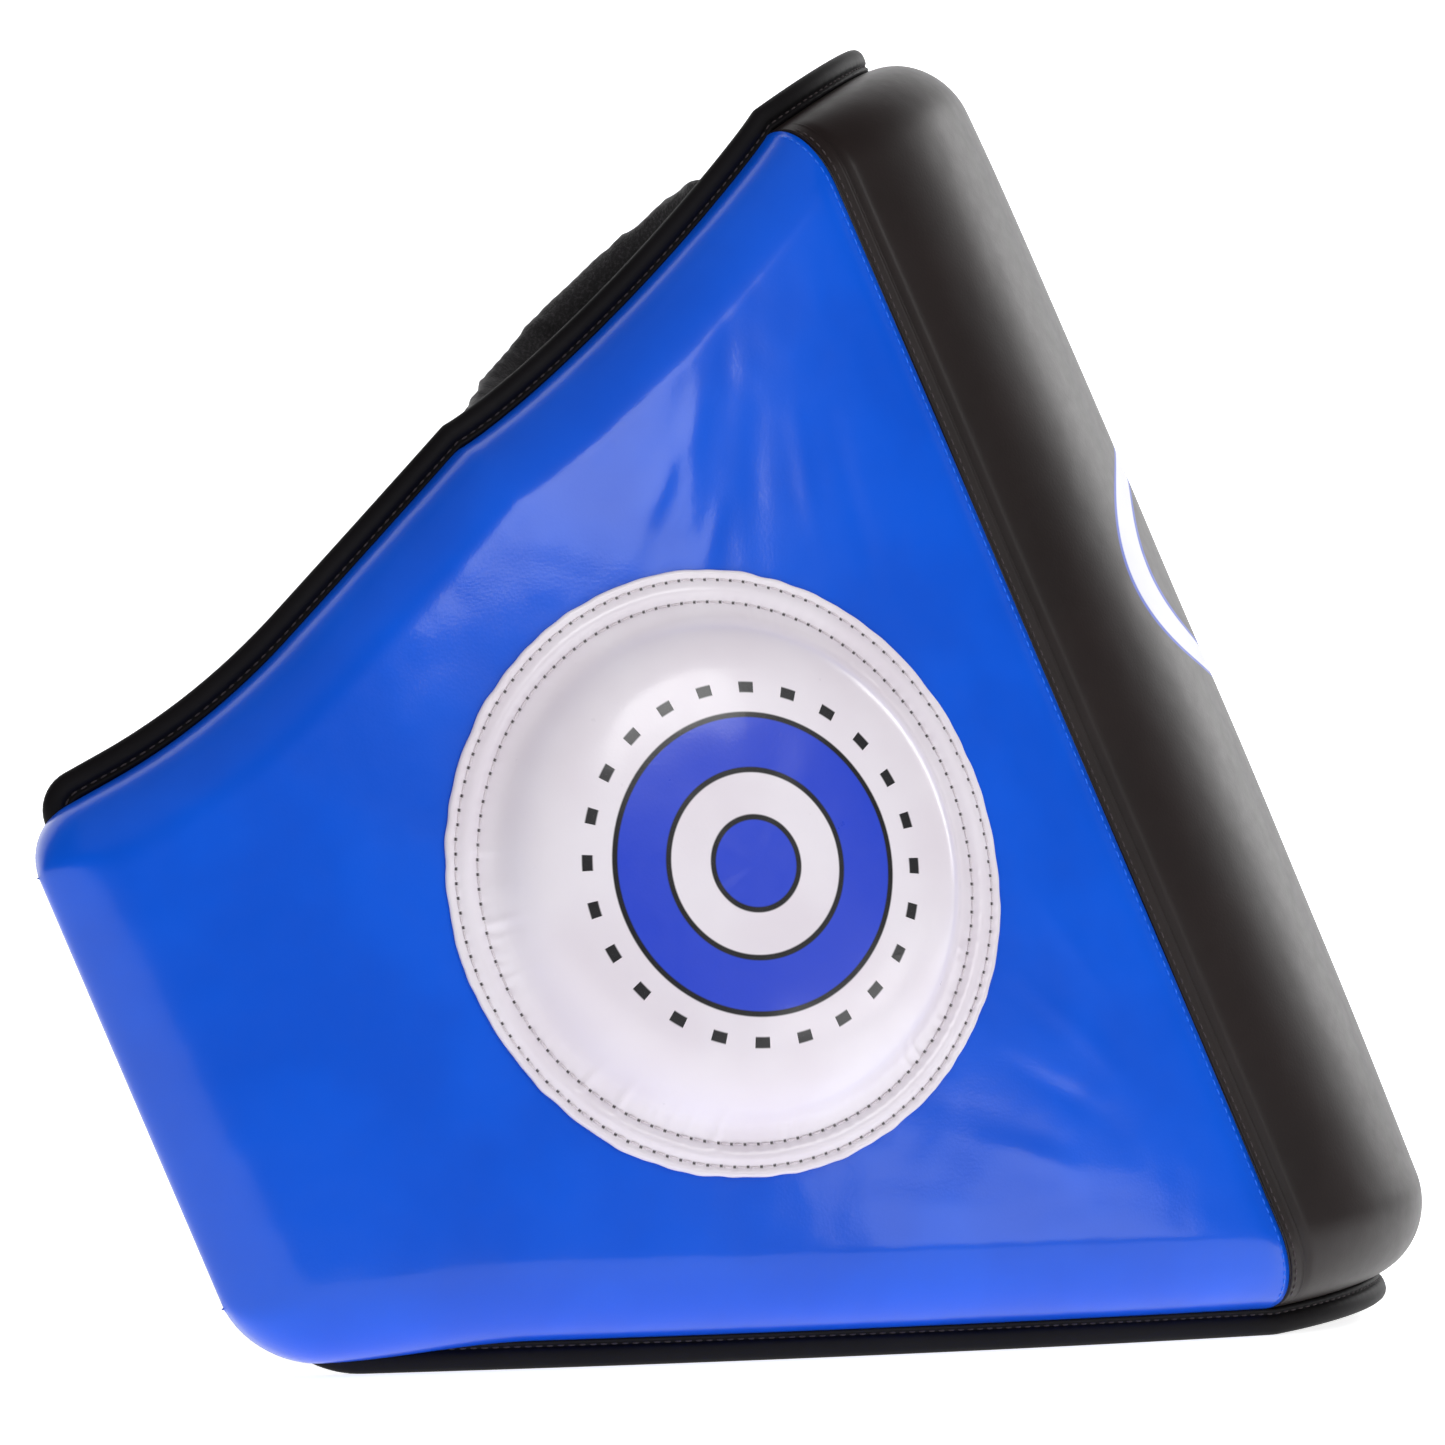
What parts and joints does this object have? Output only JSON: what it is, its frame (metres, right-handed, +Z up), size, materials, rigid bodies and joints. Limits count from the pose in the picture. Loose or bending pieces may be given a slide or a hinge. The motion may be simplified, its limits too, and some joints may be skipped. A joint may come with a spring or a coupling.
{
  "type": "kick shield",
  "caption": "Wrap-around padded kick shield: curved front pad, two hinged side pads with round strike targets, forearm cuffs and hand grips inside.",
  "frame": {"origin": "middle of the bounding box's underside, on the floor that the lower rim rests on", "axes": "+Z up from the floor, front pad towards -Y, rear ends of the side pads towards +Y, left and right sides mirrored across X = 0"},
  "size_m": [0.5928, 0.6097, 0.5634],
  "materials": {
    "black_vinyl": "satin",
    "blue_vinyl": "gloss",
    "white_vinyl": "gloss",
    "dense_foam": "matte",
    "soft_foam": "matte",
    "stiff_foam": "matte",
    "lining_fabric": "matte",
    "binding_tape": "satin",
    "loop_fabric": "matte",
    "hook_and_loop": "matte",
    "ring_steel": "polished",
    "webbing": "matte",
    "grip_vinyl": "satin"
  },
  "bodies": {
    "front": {"front_cover": "black_vinyl", "front_impact_foam": "dense_foam", "front_core_foam": "soft_foam", "front_backing_sheet": "stiff_foam", "front_lining": "lining_fabric", "front_top_binding": "binding_tape", "front_bottom_binding": "binding_tape", "right_seam_strip": "black_vinyl", "left_seam_strip": "black_vinyl"},
    "right_wing": {"right_wing_cover": "blue_vinyl", "right_wing_impact_foam": "dense_foam", "right_wing_core_foam": "soft_foam", "right_wing_lining": "lining_fabric", "right_wing_binding": "binding_tape", "right_target_foam": "soft_foam", "right_target_cover": "white_vinyl", "right_cuff_pad": "loop_fabric", "right_cuff_strap": "hook_and_loop", "right_cuff_ring": "ring_steel", "right_cuff_ring_tab": "webbing", "right_grip_web": "webbing", "right_grip_sleeve": "grip_vinyl", "right_grip_patches": "black_vinyl"},
    "right_strap_tail": {"right_cuff_tail": "hook_and_loop"},
    "left_wing": {"left_wing_cover": "blue_vinyl", "left_wing_impact_foam": "dense_foam", "left_wing_core_foam": "soft_foam", "left_wing_lining": "lining_fabric", "left_wing_binding": "binding_tape", "left_target_foam": "soft_foam", "left_target_cover": "white_vinyl", "left_cuff_pad": "loop_fabric", "left_cuff_strap": "hook_and_loop", "left_cuff_ring": "ring_steel", "left_cuff_ring_tab": "webbing", "left_grip_web": "webbing", "left_grip_sleeve": "grip_vinyl", "left_grip_patches": "black_vinyl"},
    "left_strap_tail": {"left_cuff_tail": "hook_and_loop"}
  },
  "joints": [
    {"name": "right_wing_flex", "type": "hinge", "parent": "front", "child": "right_wing", "pos_m": [-0.14289, -0.25346, -0.0325], "axis": [0, 0.3939, 0.9191], "range_deg": [0, 18], "stiffness_Nm_per_rad": 8},
    {"name": "right_strap_peel", "type": "hinge", "parent": "right_wing", "child": "right_strap_tail", "pos_m": [-0.12854, 0.13953, 0.39945], "axis": [-0.1713, 0.6922, 0.701], "range_deg": [0, 110]},
    {"name": "left_wing_flex", "type": "hinge", "parent": "front", "child": "left_wing", "pos_m": [0.14289, -0.25346, -0.0325], "axis": [0, -0.3939, -0.9191], "range_deg": [0, 18], "stiffness_Nm_per_rad": 8},
    {"name": "left_strap_peel", "type": "hinge", "parent": "left_wing", "child": "left_strap_tail", "pos_m": [0.12854, 0.13953, 0.39945], "axis": [-0.1713, -0.6922, -0.701], "range_deg": [0, 110]}
  ]
}
